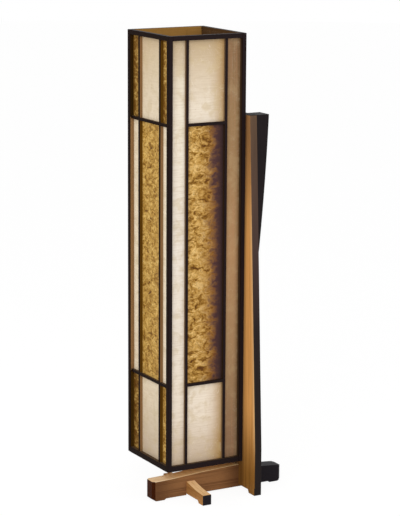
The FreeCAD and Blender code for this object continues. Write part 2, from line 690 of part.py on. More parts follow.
def screws(label, spots, tip, head, outward):
    # screws along X, from their tips to the face that their heads are flush with
    body = new_body(label)
    neck = "(" + head + (" - " if outward else " + ") + "screw_head_height)"
    length = "(" + neck + " - (" + tip + "))" if outward else "(" + tip + " - " + neck + ")"
    shanks = new_sketch(body, "shanks", "YZ_Plane", tip)
    heads = new_sketch(body, "heads", "YZ_Plane", neck)
    for y, z in spots:
        circle(shanks, y, z, "screw_shank / 2")
        circle(heads, y, z, "screw_head / 2")
    pad(body, shanks, length, back=not outward)
    pad(body, heads, "screw_head_height", back=not outward)
    for wide, high in (("driver_width", "driver_slot"), ("driver_slot", "driver_width")):
        slot = new_sketch(body, wide, "YZ_Plane", head)
        for y, z in spots:
            rectangle(slot, y + " - " + wide + " / 2", y + " + " + wide + " / 2",
                      z + " - " + high + " / 2", z + " + " + high + " / 2")
        pocket(body, slot, "driver_depth", back=not outward)
    place(body, "post_place", BASE_Y, "0")


def screw_holes(body, name, role, face, spots, depth, back=False):
    holes = new_sketch(body, name, role, face)
    for across, high in spots:
        circle(holes, across, high, "(screw_shank + screw_play) / 2")
    pocket(body, holes, depth, back=back)


def head_holes(body, name, face, spots, back=False):
    # flat-bottomed holes that the screw heads sit in, flush with the board
    holes = new_sketch(body, name, "YZ_Plane", face)
    for y, z in spots:
        circle(holes, y, z, "(screw_head + screw_play) / 2")
    pocket(body, holes, "screw_head_height", back=back)


for corner in range(4):
    corner_stick(corner)
for side in range(4):
    top_rail(side)
    bottom_rail(side)
    muntins(side)
    bars(side)
    paper(side)
bottom_board()
long_beam()
cross_arm()
post_board()
post_wing()
lamp_pole()
pole_flange()
flange_screws()
lower_bracket()
for name, x, seat in (("upper", POLE_X, POLE_TOP), ("lower", LOW_X, LOW_SEAT)):
    lamp_holder(name, x, seat)
    bulb(name, x, seat)
cord_bush()
terminal_block()
screws("lantern_screws", LANTERN_SPOTS, "-screw_bite", "post_thickness", outward=True)
screws("wing_screws", WING_SPOTS, "(post_thickness + wing_screw_bite)", "0", outward=False)

doc.recompute()
for item in doc.Objects:
    if "Invalid" in item.State or "Error" in item.State:
        raise RuntimeError("failed: " + item.Label + " " + str(item.State))
for body in kept:
    if body.Shape.isNull() or not body.Shape.isValid():
        raise RuntimeError("bad shape: " + body.Label)
for body in kept:
    body.Shape.exportStep("parts/" + body.Label + ".step")
    print(body.Label, len(body.Shape.Solids), round(body.Shape.Volume))
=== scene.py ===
import math
import bmesh
import bpy
from mathutils import Euler, Matrix, Vector


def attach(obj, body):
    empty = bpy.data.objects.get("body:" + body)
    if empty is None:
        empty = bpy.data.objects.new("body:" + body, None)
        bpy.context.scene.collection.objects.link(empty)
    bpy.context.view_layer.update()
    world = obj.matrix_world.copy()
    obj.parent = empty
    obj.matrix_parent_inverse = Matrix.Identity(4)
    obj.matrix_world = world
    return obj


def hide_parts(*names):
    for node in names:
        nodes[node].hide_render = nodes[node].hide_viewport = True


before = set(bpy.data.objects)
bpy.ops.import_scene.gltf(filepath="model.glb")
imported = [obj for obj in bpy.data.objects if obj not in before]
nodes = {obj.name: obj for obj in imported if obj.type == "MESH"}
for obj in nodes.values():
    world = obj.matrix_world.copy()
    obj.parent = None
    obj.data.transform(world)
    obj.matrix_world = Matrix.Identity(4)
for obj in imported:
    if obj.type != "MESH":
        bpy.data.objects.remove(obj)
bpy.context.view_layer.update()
bpy.context.scene.view_settings.view_transform = "Standard"
print("frame loaded:", len(nodes), "nodes")

# Where the lantern stands in the shared frame, in metres.
lantern = {
    "axisX": -0.0495, "axisY": 0.0345,      # the upright line through its middle
    "foot": 0.080, "top": 1.214,            # heights of its lower and upper ends
    "lowBar": 0.307, "highBar": 0.987,      # heights of the bars that part the three rows of cells
    "muntin": 0.0565,      # from the middle of a face to where its columns of sheets meet, behind a muntin
}
sides = ["front", "right", "back", "left"]
turned = 0.5      # a face looks a certain way when its normal has more than this share that way


def paint(colour):
    # a screen colour, three parts of 0 to 255, as the linear values that a shader wants; anything
    # else, such as a value from a node or a colour that is linear already, stays as it is
    if not isinstance(colour, tuple) or len(colour) != 3:
        return colour
    parts = [part / 255 for part in colour]
    linear = [part / 12.92 if part <= 0.04045 else ((part + 0.055) / 1.055) ** 2.4 for part in parts]
    return (*linear, 1.0)


def drawnOut(axis, share):
    # scales that draw a pattern out along one axis
    return [share if name == axis else 1.0 for name in "xyz"]


class Signal:
    # a value on its way through the nodes of a finish, so that shader maths reads as sums
    def __init__(self, finish, socket):
        self.finish = finish
        self.socket = socket

    def maths(self, operation, first, second=None):
        return self.finish.node("ShaderNodeMath", {"operation": operation}, {0: first, 1: second})

    def __add__(self, other):
        return self.maths("ADD", self, other)

    __radd__ = __add__

    def __sub__(self, other):
        return self.maths("SUBTRACT", self, other)

    def __rsub__(self, other):
        return self.maths("SUBTRACT", other, self)

    def __mul__(self, other):
        return self.maths("MULTIPLY", self, other)

    __rmul__ = __mul__

    def __truediv__(self, other):
        return self.maths("DIVIDE", self, other)

    def __rtruediv__(self, other):
        return self.maths("DIVIDE", other, self)

    def __pow__(self, other):
        return self.maths("POWER", self, other)

    def __gt__(self, other):
        return self.maths("GREATER_THAN", self, other)

    def __lt__(self, other):
        return self.maths("LESS_THAN", self, other)

    def __abs__(self):
        return self.maths("ABSOLUTE", self)

    def fraction(self):
        return self.maths("FRACT", self)

    def most(self, other):
        return self.maths("MAXIMUM", self, other)

    def sway(self, reach):
        # a noise, which keeps near a half, as a change to either side of nothing
        return (self - 0.5) * reach


class Finish:
    # the nodes of one material, or of the world, and the calls that add to them
    def __init__(self, owner, shader="Principled BSDF"):
        owner.use_nodes = True
        self.owner = owner
        self.tree = owner.node_tree
        self.shader = self.tree.nodes[shader]

    def node(self, kind, settings, sockets, out=0):
        made = self.tree.nodes.new(kind)
        for name, value in settings.items():
            if name == "stops":
                ramp = made.color_ramp
                while len(ramp.elements) < len(value):
                    ramp.elements.new(1.0)
                for stop, (spot, colour) in zip(ramp.elements, value):
                    stop.position = spot
                    stop.color = paint(colour)
            else:
                setattr(made, name, value)
        self.feed(made, sockets)
        return Signal(self, made.outputs[out])

    def feed(self, made, sockets):
        for name, value in sockets.items():
            if isinstance(value, Signal):
                self.tree.links.new(value.socket, made.inputs[name])
            elif value is not None:
                made.inputs[name].default_value = value

    def place(self):
        return self.node("ShaderNodeTexCoord", {}, {}, out="Object")

    def facing(self):
        return self.node("ShaderNodeTexCoord", {}, {}, out="Normal")

    def seen(self):
        # 1 for a ray that comes from the camera, off a mirror or through glass, and 0 for the others
        rays = self.node("ShaderNodeLightPath", {}, {}).socket.node.outputs
        straight, mirrored = Signal(self, rays["Is Camera Ray"]), Signal(self, rays["Is Glossy Ray"])
        return straight.most(mirrored).most(Signal(self, rays["Is Transmission Ray"]))

    def split(self, vector):
        parts = self.node("ShaderNodeSeparateXYZ", {}, {0: vector})
        return [Signal(self, socket) for socket in parts.socket.node.outputs]

    def stretch(self, vector, x, y, z):
        return self.node("ShaderNodeVectorMath", {"operation": "MULTIPLY"}, {0: vector, 1: (x, y, z)})

    def noise(self, vector, scale, detail, roughness=0.55, warp=0.0, out=0):
        return self.node("ShaderNodeTexNoise", {}, {
            "Vector": vector, "Scale": scale, "Detail": detail, "Roughness": roughness,
            "Distortion": warp}, out)

    def between(self, value, low, high):
        # 0 below low, 1 above high and a smooth rise between them
        return self.node("ShaderNodeMapRange", {"interpolation_type": "SMOOTHSTEP"},
                         {"Value": value, "From Min": low, "From Max": high})

    def mix(self, factor, first, second, blend="MIX"):
        # sockets 6 and 7 are the two colours and output 2 is the mixed one
        return self.node("ShaderNodeMix", {"data_type": "RGBA", "blend_type": blend},
                         {0: factor, 6: paint(first), 7: paint(second)}, out=2)

    def ramp(self, value, stops):
        return self.node("ShaderNodeValToRGB", {"stops": stops}, {"Fac": value})

    def levels(self, value, stops):
        # a number that follows the value through stops of (value, number)
        low, high = stops[0][0], stops[-1][0]
        rows = [((spot - low) / (high - low), (part, part, part, 1)) for spot, part in stops]
        return self.ramp((value - low) / (high - low), rows)

    def bump(self, height, strength, depth):
        return self.node("ShaderNodeBump", {}, {"Strength": strength, "Distance": depth, "Height": height})

    def finish(self, sockets):
        self.feed(self.shader, sockets)
        return self.owner


def newFinish(name):
    return Finish(bpy.data.materials.new(name))


def dress(names, material):
    for name in names:
        for slot in nodes[name].material_slots:
            slot.material = material


# Camera: where the photograph was taken from, worked out from the lantern's corners.
camera = {
    "turn": -29.303, "pitch": 11.687, "roll": 0.315,      # degrees
    "target": (-0.0495, 0.0345, 0.6472), "distance": 5.3556,
    "right": 0.03732, "up": -0.02683,      # the camera's step aside, which puts the target off centre
    "focal": 2044.92, "imageHeight": 516,      # pixels
    "sensor": 36, "farEnd": 60,
}


def addCamera():
    data = bpy.data.cameras.new("view")
    data.sensor_width = camera["sensor"]
    data.lens = camera["focal"] * data.sensor_width / camera["imageHeight"]
    data.clip_end = camera["farEnd"]
    body = bpy.data.objects.new("view", data)
    bpy.context.scene.collection.objects.link(body)
    turn = Euler((math.radians(90 - camera["pitch"]), 0, math.radians(camera["turn"])))
    aim = turn.to_matrix().to_4x4() @ Matrix.Rotation(math.radians(camera["roll"]), 4, "Z")
    shift = Vector((camera["right"], camera["up"], camera["distance"]))
    body.matrix_world = Matrix.Translation(Vector(camera["target"]) + aim.to_3x3() @ shift) @ aim
    bpy.context.scene.camera = body


# Light: one broad soft lamp on the camera's left, a weaker one on its right and a pale world.
light = {
    "world": 0.62,
    "distance": 4.0, "size": 2.6, "aimHeight": 0.6,
    "keyLamp": {"power": 69, "turn": -42, "rise": 27},
    "fillLamp": {"power": 14, "turn": 40, "rise": 22},
}


def addLamp(name):
    data = bpy.data.lights.new(name, "AREA")
    data.energy = light[name]["power"]
    data.size = light["size"]
    lamp = bpy.data.objects.new(name, data)
    bpy.context.scene.collection.objects.link(lamp)
    turn, rise = math.radians(light[name]["turn"]), math.radians(light[name]["rise"])
    back = Vector((math.sin(turn) * math.cos(rise), -math.cos(turn) * math.cos(rise), math.sin(rise)))
    lamp.location = Vector((0, 0, light["aimHeight"])) + back * light["distance"]
    lamp.rotation_euler = (-back).to_track_quat("-Z", "Y").to_euler()


def addWorld():
    # the world lights the lamp with its own strength, and what is seen of it is white
    world = bpy.data.worlds.new("studio")
    bpy.context.scene.world = world
    finish = Finish(world, "Background")
    strength = finish.node("ShaderNodeMapRange", {}, {
        "Value": finish.seen(), "To Min": light["world"], "To Max": 1.0})
    finish.finish({"Color": (1, 1, 1, 1), "Strength": strength})


# Floor: pale, and nearly white where it is seen, so that only the lamp's shadow shows on it.
ground = {
    "radius": 14, "corners": 96,
    "tones": ((0.86, 0.86, 0.86, 1), (0.9, 0.9, 0.9, 1)), "clouds": (6.0, 3.0),
    "rough": 0.9, "shine": 0.1,
    "glow": 1.06, "glowShare": 0.86,
}


def addFloor():
    bpy.ops.mesh.primitive_circle_add(vertices=ground["corners"], radius=ground["radius"],
                                      fill_type="NGON", location=(0, 0, 0))
    floor = bpy.context.object
    floor.name = "floor"
    finish = newFinish("paleFloor")
    clouds = finish.noise(finish.place(), *ground["clouds"])
    finish.finish({"Base Color": finish.mix(clouds, *ground["tones"]), "Roughness": ground["rough"],
                   "Specular IOR Level": ground["shine"]})
    glow = finish.node("ShaderNodeEmission", {}, {"Strength": ground["glow"]})
    mixed = finish.node("ShaderNodeMixShader", {}, {
        0: finish.seen() * ground["glowShare"], 1: Signal(finish, finish.shader.outputs[0]), 2: glow})
    finish.feed(finish.tree.nodes["Material Output"], {"Surface": mixed})
    floor.data.materials.append(finish.owner)


addCamera()
addWorld()
for name in ("keyLamp", "fillLamp"):
    addLamp(name)
addFloor()
print("camera, light and floor made")


# Lattice sticks: black lacquer on what faces outwards and on the open top, oiled wood on the flanks
# and inside. The flanks carry painted light from the sheets beside them: darker beside an amber
# sheet than beside a cream one, and darker where they face left or right than front or back.
# In this and the other dictionaries a pair of colours is what a noise runs between, a noise is its
# scale, detail, roughness and warp, a pair of numbers is the range of a smooth rise, and lengths
# are in metres.
lacquer = {
    "coat": ((28, 20, 21), (42, 33, 33)), "shadedLeftCoat": (22, 6, 0), "shadedLeftCoatShare": 0.95,
    "coatGrain": 0.7,      # the fine grain's share in the coat; the rest comes from the clouds
    "frontFlank": ((98, 76, 54), (134, 110, 82)),
    "creamFlank": ((124, 90, 54), (158, 122, 82)),
    "amberFlank": ((76, 46, 4), (112, 78, 20)),
    "farFlank": (42, 28, 8), "farTopShare": 0.9, "farLowShare": 0.6,
    "shadedFlank": (46, 32, 22), "shadedShare": 0.9, "ledgeShare": 0.55,
    "woodRough": 0.58, "coatRough": 0.42, "roughSway": 0.22, "shine": 0.02,
    "grain": (210, 5.0, 0.62, 0.4), "grainDraw": 0.03, "clouds": (9.0, 2.0),
    "grainBump": 0.35, "grainDepth": 0.0002,
    "outerFace": 0.07,      # what looks outwards at more than this from the axis is lacquered
    "innerFace": 0.09,      # what looks inwards at more than this from the axis takes the inner faces' tone
    "topFace": 0.003,       # what looks up this near the top is lacquered
    "farPart": 0.09,        # the rails and muntins at the rear and on the right lie beyond this
    "stick": 0.1004,        # a corner stick begins this far from the axis, both ways
    "bottomRail": 0.0945, "topRail": 1.2015,      # the bottom rails end and the top ones begin here
    "lap": 0.1075, "thickLap": 0.0028,      # the coat's lap round an edge; more on sticks and rails
    "look": 0.008,          # how far from a flank its cell is looked for
    "barSoft": 0.0006,
}
# Inner faces: painted light and shade near the open top, lit and dim, and the bare wood below.
inside = {
    "lit": ((138, 99, 44), (178, 134, 70)),
    "dim": ((72, 50, 28), (96, 68, 40)),
    "bareWood": ((214, 190, 148), (240, 222, 188)),
    "paintedLightHeights": (1.06, 1.17),      # heights
}


def insideTone(finish, grain, nx, z):
    # painted light and shade on the inner faces near the open top, lit on most of them and shaded on
    # the ones on the post's side; lower down the bare wood's own colour
    lit, dim, bareWood = [finish.mix(grain, *inside[name]) for name in ("lit", "dim", "bareWood")]
    return finish.mix(finish.between(z, *inside["paintedLightHeights"]), bareWood, finish.mix(nx < -turned, lit, dim))


def stickFinish(name, along):
    finish = newFinish(name)
    place = finish.place()
    x, y, z = finish.split(place)
    nx, ny, nz = finish.split(finish.facing())
    grain = finish.noise(finish.stretch(place, *drawnOut(along, lacquer["grainDraw"])), *lacquer["grain"])
    clouds = finish.noise(place, *lacquer["clouds"])
    offX = x - lantern["axisX"]
    offY = y - lantern["axisY"]
    outward = offX * nx + offY * ny
    corner = (abs(offX) > lacquer["stick"]) * (abs(offY) > lacquer["stick"])
    within = (outward < -lacquer["innerFace"]) * (1 - corner)
    onTop = (nz > turned) * (z > lantern["top"] - lacquer["topFace"])
    coated = (outward > lacquer["outerFace"]).most(onTop)
    # the lacquer runs a little way round the outer edges
    thick = corner.most(z < lacquer["bottomRail"]).most(z > lacquer["topRail"])
    coated = coated.most(abs(offX).most(abs(offY)) > lacquer["lap"] + thick * lacquer["thickLap"])
    # which cell a flank looks into decides the painted light that it takes from the paper
    lookX = abs(offX + nx * lacquer["look"]) < lantern["muntin"]
    lookY = abs(offY + ny * lacquer["look"]) < lantern["muntin"]
    soft = lacquer["barSoft"]
    overLow, overHigh = [finish.between(z, lantern[bar] - soft, lantern[bar] + soft)
                         for bar in ("lowBar", "highBar")]
    middleRow = overLow * (1 - overHigh)
    sideways = abs(ny) > turned
    amberCell = (1 - abs(middleRow - lookY)) * sideways + middleRow * lookX * (1 - sideways)
    near, pale, warm = [finish.mix(grain, *lacquer[tone])
                        for tone in ("frontFlank", "creamFlank", "amberFlank")]
    flank = finish.mix(amberCell, finish.mix(sideways, near, pale), warm)
    # the flanks at the rear and on the right get little light
    rear = (offY > lacquer["farPart"]) * sideways
    rearShade = rear * (z > lantern["highBar"]) * lacquer["farTopShare"]
    rearShade = rearShade + rear * (z < lantern["lowBar"]) * lacquer["farLowShare"]
    flank = finish.mix(rearShade, flank, lacquer["farFlank"])
    rightShade = (1 - sideways) * (offX > lacquer["farPart"]).most((offX > 0) * middleRow)
    flank = finish.mix(rightShade * lacquer["shadedShare"], flank, lacquer["shadedFlank"])
    # painted shade on the flanks that face up, such as the tops of the bottom rails
    flank = finish.mix((nz > turned) * lacquer["ledgeShare"], flank, lacquer["shadedFlank"])
    flank = finish.mix(within, flank, insideTone(finish, grain, nx, z))
    coat = finish.mix(grain * lacquer["coatGrain"] + clouds * (1 - lacquer["coatGrain"]), *lacquer["coat"])
    # painted shade: the lacquer on the faces that look left is darker
    coat = finish.mix((nx < -turned) * lacquer["shadedLeftCoatShare"], coat, lacquer["shadedLeftCoat"])
    rough = lacquer["woodRough"] - coated * (lacquer["woodRough"] - lacquer["coatRough"])
    return finish.finish({
        "Base Color": finish.mix(coated, flank, coat),
        "Roughness": rough + grain.sway(lacquer["roughSway"]),
        "Specular IOR Level": lacquer["shine"],
        "Normal": finish.bump(grain, lacquer["grainBump"], lacquer["grainDepth"])})


uprights = stickFinish("lacqueredUprights", "z")
crossers = {"x": stickFinish("lacqueredBarsAcross", "x"), "y": stickFinish("lacqueredBarsBack", "y")}
dress([name for name in nodes if name.endswith(("corner_stick", "muntins"))], uprights)
for side in sides:
    along = "x" if side in ("front", "back") else "y"
    dress([side + "_top_rail", side + "_bottom_rail", side + "_bars"], crossers[along])
print("lattice dressed")


# Paper, both kinds: the sheets of the left face carry a painted shadow of the sticks, at the left
# end of each cell. Stops go from left to right across the face, as seen from outside.
stickShadowBand = [(-0.1005, 1.0), (-0.0975, 1.0), (-0.0965, 0.0), (-0.0530, 0.0), (-0.0528, 1.0), (-0.0498, 1.0),
             (-0.0488, 0.0), (0.0600, 0.0), (0.0602, 1.0), (0.0645, 1.0), (0.0655, 0.0), (0.1005, 0.0)]


def across(finish, place, side):
    # how far a spot is from the middle of its face, to the right as seen from outside, and its height
    x, y, z = finish.split(place)
    along = {"front": x - lantern["axisX"], "right": y - lantern["axisY"],
             "back": lantern["axisX"] - x, "left": lantern["axisY"] - y}[side]
    return along, z


def insideMixed(finish, place, colour, grain):
    # the sheet's own colour on its outer side and the inner faces' tone, with its painted light and
    # shade near the top, on its inner side
    x, y, z = finish.split(place)
    nx, ny = finish.split(finish.facing())[:2]
    outward = (x - lantern["axisX"]) * nx + (y - lantern["axisY"]) * ny
    return finish.mix(outward < 0, colour, insideTone(finish, grain, nx, z))


# Cream paper has laid lines, strands, clouds and a few flecks. Its colour up the lantern is painted
# light and shade, brightest at mid-height and shaded towards the foot and the top. The stops of
# frontUp, leftUp and stripUp run up the lantern, from 0 at its foot to 1 at its top, those of the
# levels to the right.
cream = {
    "frontUp": [(0.0, (196, 173, 146)), (0.05, (216, 197, 174)), (0.12, (243, 229, 210)),
                (0.20, (243, 230, 211)), (0.52, (243, 232, 218)), (0.83, (237, 223, 203)),
                (0.93, (216, 196, 168)), (0.98, (196, 172, 137)), (1.0, (188, 164, 130))],
    "leftUp": [(0.0, (197, 174, 148)), (0.06, (212, 192, 166)), (0.15, (231, 212, 182)),
               (0.24, (243, 224, 196)), (0.50, (248, 231, 203)), (0.78, (242, 223, 194)),
               (0.86, (232, 213, 184)), (0.95, (219, 196, 160)), (1.0, (204, 176, 138))],
    "clouds": (34, 4.0, 0.6, 0.5), "cloud": (208, 186, 144), "cloudRange": (0.46, 0.66), "cloudShare": 0.42,
    "laidLines": (330.0, 4.0, 0.7), "laidDraw": 0.06, "laid": (184, 156, 116), "laidRange": (0.42, 0.70),
    "laidShare": 0.26,
    "strands": (38.0, 2.0, 0.5, 1.6), "strandDraw": 0.6, "strand": (255, 247, 230),
    "strandRange": (0.0, 0.012), "strandShare": 0.2,
    "flecks": (420.0, 1.0, 0.4), "fleckDraw": 0.7, "fleck": (150, 108, 84), "fleckRange": (0.73, 0.77),
    "fleckShare": 0.7, "fleckFields": (19.0, 2.0), "fieldRange": (0.54, 0.62),
    "insideClouds": 0.6,      # the clouds' share in the inner side's grain; the rest is laid lines
    "rough": 0.78, "roughSway": 0.1, "shine": 0.1,
    "bump": 0.4, "bumpDepth": 0.0002, "bumpClouds": 0.5, "bumpLaid": 0.5, "bumpStrand": 0.6,
}
# On the front the right-hand strip lies in painted shade, darkest along its right edge, the middle
# sheets take painted shade towards it, and painted light makes the left-hand strip brightest beside
# its muntin. On the left face painted light makes the right ends the brightest.
creamFront = {
    "stripUp": [(0.0, (142, 112, 84)), (0.07, (145, 116, 88)), (0.28, (170, 138, 99)),
                (0.50, (181, 143, 101)), (0.82, (156, 124, 86)), (0.95, (137, 107, 75)),
                (1.0, (134, 104, 73))],
    "veins": (240.0, 3.0, 0.6), "veinDraw": 0.02, "vein": (182, 132, 98), "veinRange": (0.42, 0.66),
    "veinShare": 0.3,
    "edge": (96, 64, 30), "edgeLevels": [(0.086, 0.0), (0.092, 0.12), (0.097, 0.5), (0.1005, 0.95)],
    "edgeShare": 0.95, "edgeFade": 0.45, "edgeFadeRange": (0.34, 0.42),      # towards the two ends
    "shade": (178, 138, 80), "shadeLevels": [(0.006, 0.0), (0.024, 0.22), (0.040, 0.62), (0.0535, 0.92)],
    "shadeSway": 0.012, "shadeFoot": 1.3, "shadeFootRange": (0.03, 0.10),      # stronger at the foot
    "bright": (255, 250, 228),
    "brightLevels": [(-0.1005, 0.0), (-0.085, 0.1), (-0.064, 0.5), (-0.0605, 0.0)],
    "brightRange": (0.5, 0.8), "brightEnd": 0.8, "brightEndRange": (0.9, 0.95),
    "stripCalm": 0.6,      # how much weaker the clouds and lines are on the strip
}
creamLeft = {
    "bright": (255, 246, 226),
    "brightLevels": [(-0.10, 0.0), (-0.05, 0.0), (0.053, 0.16), (0.062, 0.0), (0.086, 0.5), (0.10, 1.0)],
    "stickShadow": (158, 126, 86),
}


def frontCream(finish, place, along, share, clouds, colour):
    look = creamFront
    strip = finish.ramp(share, look["stripUp"])
    veins = finish.noise(finish.stretch(place, *drawnOut("z", look["veinDraw"])), *look["veins"])
    strip = finish.mix(finish.between(veins, *look["veinRange"]) * look["veinShare"], strip, look["vein"])
    # painted shadow along the strip's right edge, beside the corner stick, weaker towards foot and top
    fade = finish.between(abs(share - 0.5), *look["edgeFadeRange"]) * look["edgeFade"]
    edge = finish.levels(along, look["edgeLevels"]) * (look["edgeShare"] - fade)
    strip = finish.mix(edge, strip, look["edge"])
    # painted shade on the middle sheets towards the strip, stronger at the foot
    shade = finish.levels(along + clouds.sway(look["shadeSway"]), look["shadeLevels"])
    relief = finish.between(share, *look["shadeFootRange"]) * (look["shadeFoot"] - 1)
    colour = finish.mix(shade * (look["shadeFoot"] - relief), colour, look["shade"])
    # painted light on the left-hand strip beside its muntin
    bright = finish.levels(along, look["brightLevels"]) * finish.between(share, *look["brightRange"])
    bright = bright * (1 - finish.between(share, *look["brightEndRange"]) * look["brightEnd"])
    colour = finish.mix(bright, colour, look["bright"])
    onStrip = along > lantern["muntin"]
    return finish.mix(onStrip, colour, strip), 1 - onStrip * look["stripCalm"]


def creamFinish(side):
    finish = newFinish(side + "CreamPaper")
    place = finish.place()
    along, z = across(finish, place, side)
    share = (z - lantern["foot"]) / (lantern["top"] - lantern["foot"])
    # painted light and shade up the lantern, brightest at mid-height
    colour = finish.ramp(share, cream["frontUp" if side in ("front", "back") else "leftUp"])
    clouds = finish.noise(place, *cream["clouds"])
    laidDraw = cream["laidDraw"]
    laid = finish.noise(finish.stretch(place, laidDraw, laidDraw, 1.0), *cream["laidLines"])
    strands = finish.noise(finish.stretch(place, *drawnOut("z", cream["strandDraw"])), *cream["strands"])
    strand = 1 - finish.between(abs(strands - 0.5), *cream["strandRange"])
    calm = 1
    if side == "front":
        colour, calm = frontCream(finish, place, along, share, clouds, colour)
    if side == "left":
        # painted light at the right ends of the left face's sheets
        colour = finish.mix(finish.levels(along, creamLeft["brightLevels"]), colour, creamLeft["bright"])
    cloudy = finish.between(clouds, *cream["cloudRange"]) * cream["cloudShare"] * calm
    colour = finish.mix(cloudy, colour, cream["cloud"])
    lined = finish.between(laid, *cream["laidRange"]) * cream["laidShare"] * calm
    colour = finish.mix(lined, colour, cream["laid"])
    colour = finish.mix(strand * cream["strandShare"] * calm, colour, cream["strand"])
    flecks = finish.noise(finish.stretch(place, *drawnOut("z", cream["fleckDraw"])), *cream["flecks"])
    fields = finish.between(finish.noise(place, *cream["fleckFields"]), *cream["fieldRange"])
    flecked = finish.between(flecks, *cream["fleckRange"]) * fields * cream["fleckShare"]
    colour = finish.mix(flecked, colour, cream["fleck"])
    if side == "left":
        # painted shadow of the sticks at the left end of each cell
        colour = finish.mix(finish.levels(along, stickShadowBand), colour, creamLeft["stickShadow"])
    grain = clouds * cream["insideClouds"] + laid * (1 - cream["insideClouds"])
    height = clouds * cream["bumpClouds"] + laid * cream["bumpLaid"] + strand * cream["bumpStrand"]
    return finish.finish({
        "Base Color": insideMixed(finish, place, colour, grain),
        "Roughness": cream["rough"] + clouds.sway(cream["roughSway"]),
        "Specular IOR Level": cream["shine"],
        "Normal": finish.bump(height, cream["bump"], cream["bumpDepth"])})


# Amber paper is crumpled, with short dark creases and pale ridges. Its pattern is larger and weaker
# on the left and right faces. The levels go from left to right across a face.
amber = {
    "folds": [(0.37, (92, 54, 10)), (0.43, (146, 104, 34)), (0.485, (186, 144, 74)),
              (0.545, (214, 173, 102)), (0.62, (240, 204, 138))],
    "crease": (92, 54, 10),
    "frontTint": (1.0, 0.965, 0.86, 1), "leftTint": (1.0, 0.97, 0.74, 1),      # linear
    "leftSize": 1.2, "leftDepth": 0.78,
    "drift": (60.0, 3.0, 0.6), "driftReach": 0.012,
    "mottle": (68, 3.0, 0.6, 1.2), "mottleStretch": (0.66, 0.66, 1.15), "mottleShare": 0.66,
    "coarse": (38.0, 3.0, 0.6, 0.8), "coarseStretch": (0.75, 0.75, 1.15),
    "veins": (56.0, 2.0, 0.5, 2.0), "veinStretch": (0.7, 0.7, 1.2), "veinMiddle": 0.49,
    "veinRange": (0.004, 0.030), "veinShare": 0.5,
    "curls": (36.0, 1.0, 0.4, 2.2), "curlStretch": (0.9, 0.9, 1.2), "curlRange": (0.002, 0.013),
    "curlFields": (0.46, 0.58), "curlShare": 0.8,
    "rough": 0.62, "roughSway": 0.3, "shine": 0.15,
    "bump": 0.8, "bumpDepth": 0.0009,
    "bumpMottle": 0.6, "bumpCoarse": 0.5, "bumpLine": 0.4, "bumpVein": 0.3,
}
# On the front the paper carries painted shade in three steps, with ragged borders, towards the right.
amberFront = {
    "border": 0.008, "coarseSway": 0.07, "mottleSway": 0.05,
    "warmShade": (128, 80, 40), "warmShadeLevels": [(-0.034, 0.0), (-0.010, 0.16), (0.004, 0.40), (0.014, 0.75)],
    "shade": (76, 48, 48), "shadeLevels": [(0.006, 0.0), (0.016, 0.35), (0.026, 0.85), (0.034, 1.0)],
    "deep": (44, 30, 28), "deepLevels": [(0.030, 0.0), (0.0535, 0.9)],
}
# On the left it has painted shade at the left ends of the outer columns of cells, and painted light
# at the right ends of the middle and the right-hand column.
amberLeft = {
    "dark": (96, 58, 8),
    "darkLevels": [(-0.1005, 0.95), (-0.088, 0.62), (-0.064, 0.34), (-0.056, 0.0), (0.0565, 0.0),
                   (0.0575, 0.9), (0.070, 0.62), (0.088, 0.0), (0.1005, 0.0)],
    "foldLevels": [(0.42, 1.0), (0.5, 0.85), (0.58, 0.35)], "foldShare": 1.15,      # deeper in the folds
    "lowRight": 0.6, "lowLeft": 0.2,      # less and more of it in the low cells
    "glow": (226, 186, 122),
    "glowLevels": [(-0.1005, 0.0), (0.02, 0.0), (0.053, 0.2), (0.056, 0.0), (0.076, 0.0), (0.092, 0.45),
                   (0.1005, 0.6)],
    "stickShadow": (110, 74, 18),
}


def frontAmber(finish, along, coarse, mottle, colour):
    look = amberFront
    # painted shade: warm brown, then purple-brown, then darkest at the right end
    ragged = along - look["border"] + coarse.sway(look["coarseSway"]) + mottle.sway(look["mottleSway"])
    colour = finish.mix(finish.levels(ragged, look["warmShadeLevels"]), colour, look["warmShade"])
    colour = finish.mix(finish.levels(ragged, look["shadeLevels"]), colour, look["shade"])
    return finish.mix(finish.levels(along, look["deepLevels"]), colour, look["deep"])


def leftAmber(finish, along, z, coarse, mottle, colour):
    look = amberLeft
    low = z < lantern["lowBar"]
    # painted shade at the left ends of the outer columns, deeper in the folds
    dark = finish.levels(along, look["darkLevels"])
    dark = dark * (1 - low * (along > 0) * look["lowRight"]) * (1 + low * (along < 0) * look["lowLeft"])
    dark = dark * finish.levels(coarse * 0.5 + mottle * 0.5, look["foldLevels"]) * look["foldShare"]
    colour = finish.mix(dark, colour, look["dark"])
    # painted light at the right ends of the middle and right-hand columns
    colour = finish.mix(finish.levels(along, look["glowLevels"]), colour, look["glow"])
    # painted shadow of the sticks at the left end of each cell
    return finish.mix(finish.levels(along, stickShadowBand), colour, look["stickShadow"])


